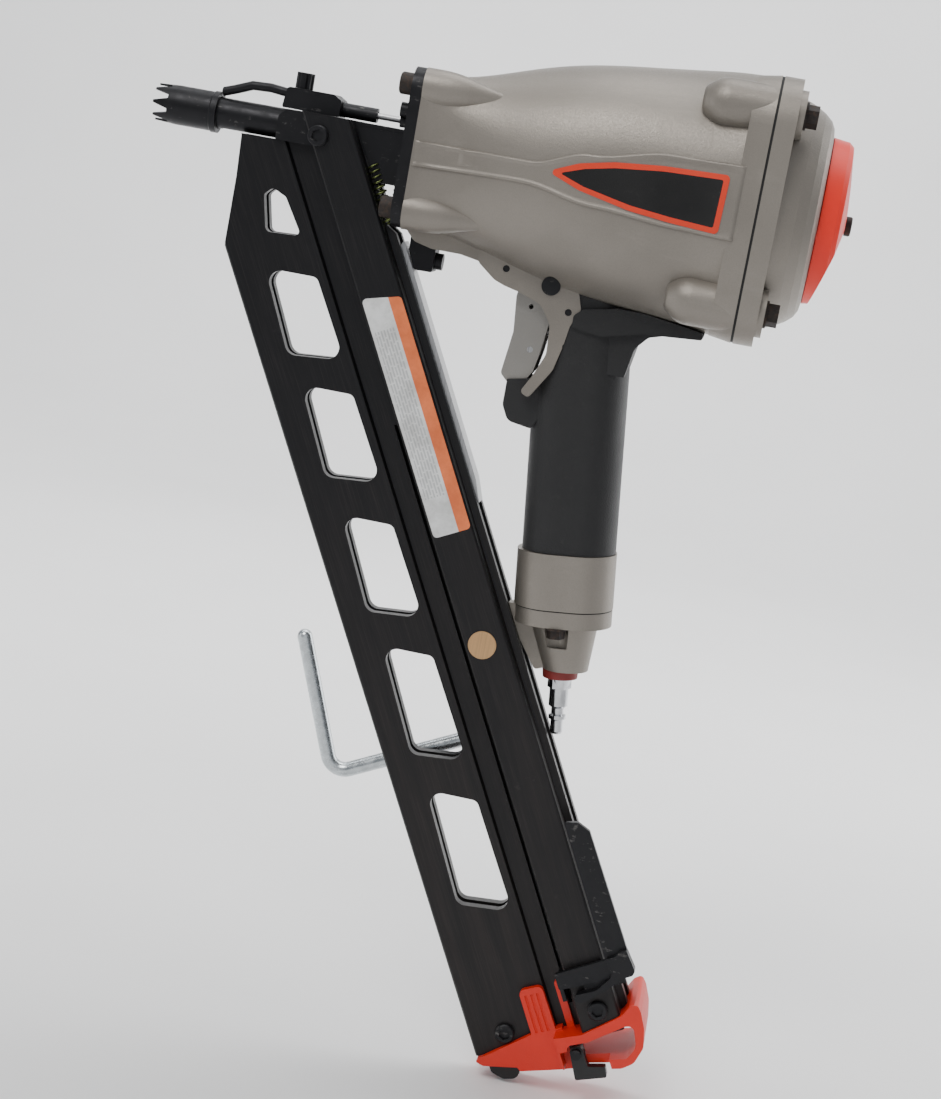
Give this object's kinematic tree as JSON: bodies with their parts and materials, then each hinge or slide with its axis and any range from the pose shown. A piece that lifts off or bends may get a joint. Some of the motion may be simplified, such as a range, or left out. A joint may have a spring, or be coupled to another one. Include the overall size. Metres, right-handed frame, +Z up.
{
  "type": "pneumatic strip framing nailer",
  "caption": "Hand-held pneumatic strip nailer with a straight drive barrel, hanging grip with air plug, toothed spring work contact, slanted windowed stick magazine and folding rafter hook.",
  "frame": {"origin": "mouth of the fixed guide tube, on the drive axis", "axes": "+X along the drive axis from the muzzle to the cylinder cap, +Z up away from the grip, +Y to the side of the rafter hook"},
  "size_m": [0.3551, 0.1246, 0.5353],
  "materials": {
    "cast_grey": "satin cast",
    "trigger_grey": "satin",
    "orange_plastic": "satin",
    "black_plastic": "satin",
    "rubber": "matte",
    "anodised_black": "black anodised",
    "dark_steel": "blued",
    "steel": "ground",
    "aluminium": "turned",
    "nylon": "matte",
    "brass": "brushed",
    "maroon": "matte",
    "chrome": "polished",
    "label": "printed film"
  },
  "bodies": {
    "tool": {"air_plug": "chrome", "badge_border_left": "orange_plastic", "badge_border_right": "orange_plastic", "badge_panel_left": "black_plastic", "badge_panel_right": "black_plastic", "cap_bolts": "dark_steel", "cap_gasket": "rubber", "cheek_pins": "dark_steel", "chin_block": "dark_steel", "cylinder_cap": "cast_grey", "cylinder_sleeve": "aluminium", "deflector_screw": "dark_steel", "drum_axle": "steel", "end_cap_bolts": "dark_steel", "end_cap_gasket": "rubber", "end_foot": "rubber", "grip_sleeve": "rubber", "guide_pin": "steel", "handle_end_cap": "cast_grey", "hook_block": "anodised_black", "housing": "cast_grey", "inlet_filter": "brass", "inlet_seal": "maroon", "label": "label", "latch_post": "dark_steel", "magazine_end_cap": "orange_plastic", "magazine_left": "anodised_black", "magazine_rail": "steel", "magazine_right": "anodised_black", "magazine_screws": "dark_steel", "nose_bolts": "dark_steel", "nose_casting": "dark_steel", "nose_plate": "dark_steel", "piston_bumper": "rubber", "rear_strip": "steel", "rib_disc": "brass", "trigger_pin": "dark_steel", "trigger_valve": "nylon"},
    "work_contact": {"contact_tip": "dark_steel", "contact_arm": "dark_steel", "adjuster_block": "dark_steel", "clamp_screw": "dark_steel", "push_rod": "dark_steel"},
    "trigger": {"trigger": "trigger_grey", "lever_pin": "steel"},
    "trigger_lever": {"trigger_lever": "steel"},
    "valve_stem": {"valve_stem": "steel"},
    "piston": {"piston": "aluminium", "piston_ring": "rubber", "driver_blade": "steel"},
    "head_valve": {"head_valve": "nylon"},
    "deflector": {"exhaust_deflector": "orange_plastic"},
    "follower": {"follower": "dark_steel", "nail_pusher": "dark_steel"},
    "spring_drum": {"spring_drum": "steel"},
    "end_latch": {"end_latch": "black_plastic"},
    "rafter_hook": {"rafter_hook": "chrome"}
  },
  "joints": [
    {"name": "work_contact_slide", "type": "slide", "parent": "tool", "child": "work_contact", "axis": [1, 0, 0], "range_m": [0, 0.0125], "stiffness_N_per_m": 350, "springref_m": -0.02},
    {"name": "trigger_pull", "type": "hinge", "parent": "tool", "child": "trigger", "pos_m": [0.2013, 0, -0.054], "axis": [0, -1, 0], "range_deg": [0, 7], "stiffness_Nm_per_rad": 1.2, "springref_deg": -11.46},
    {"name": "lever_tip", "type": "hinge", "parent": "trigger", "child": "trigger_lever", "pos_m": [0.1957, 0, -0.0876], "axis": [0, -1, 0], "range_deg": [0, 6], "stiffness_Nm_per_rad": 0.02, "springref_deg": -11.46},
    {"name": "valve_stem_slide", "type": "slide", "parent": "tool", "child": "valve_stem", "axis": [1, 0, 0], "range_m": [0, 0.0035]},
    {"name": "piston_slide", "type": "slide", "parent": "tool", "child": "piston", "axis": [-1, 0, 0], "range_m": [0, 0.115]},
    {"name": "head_valve_slide", "type": "slide", "parent": "tool", "child": "head_valve", "axis": [1, 0, 0], "range_m": [0, 0.006], "stiffness_N_per_m": 800, "springref_m": -0.004},
    {"name": "deflector_turn", "type": "hinge", "parent": "tool", "child": "deflector", "pos_m": [0.33, 0, 0], "axis": [1, 0, 0], "continuous": true},
    {"name": "follower_slide", "type": "slide", "parent": "tool", "child": "follower", "axis": [-0.454, 0, 0.891], "range_m": [0, 0.285]},
    {"name": "spring_drum_turn", "type": "hinge", "parent": "tool", "child": "spring_drum", "pos_m": [0.10735, -0.012, -0.0537], "axis": [0, 1, 0], "range_deg": [0, 2480]},
    {"name": "end_latch_turn", "type": "hinge", "parent": "tool", "child": "end_latch", "pos_m": [0.2867, -0.0165, -0.44402], "axis": [0, -1, 0], "range_deg": [0, 8], "stiffness_Nm_per_rad": 0.05, "springref_deg": -5.73},
    {"name": "rafter_hook_turn", "type": "hinge", "parent": "tool", "child": "rafter_hook", "pos_m": [0.208, 0.0156, -0.29309], "axis": [-0.891, 0, -0.454], "range_deg": [0, 180]}
  ],
  "couplings": [
    {"joint": "valve_stem_slide", "follows": "trigger_pull", "m_per_rad": 0.024},
    {"joint": "spring_drum_turn", "follows": "follower_slide", "rad_per_m": 151.51}
  ]
}
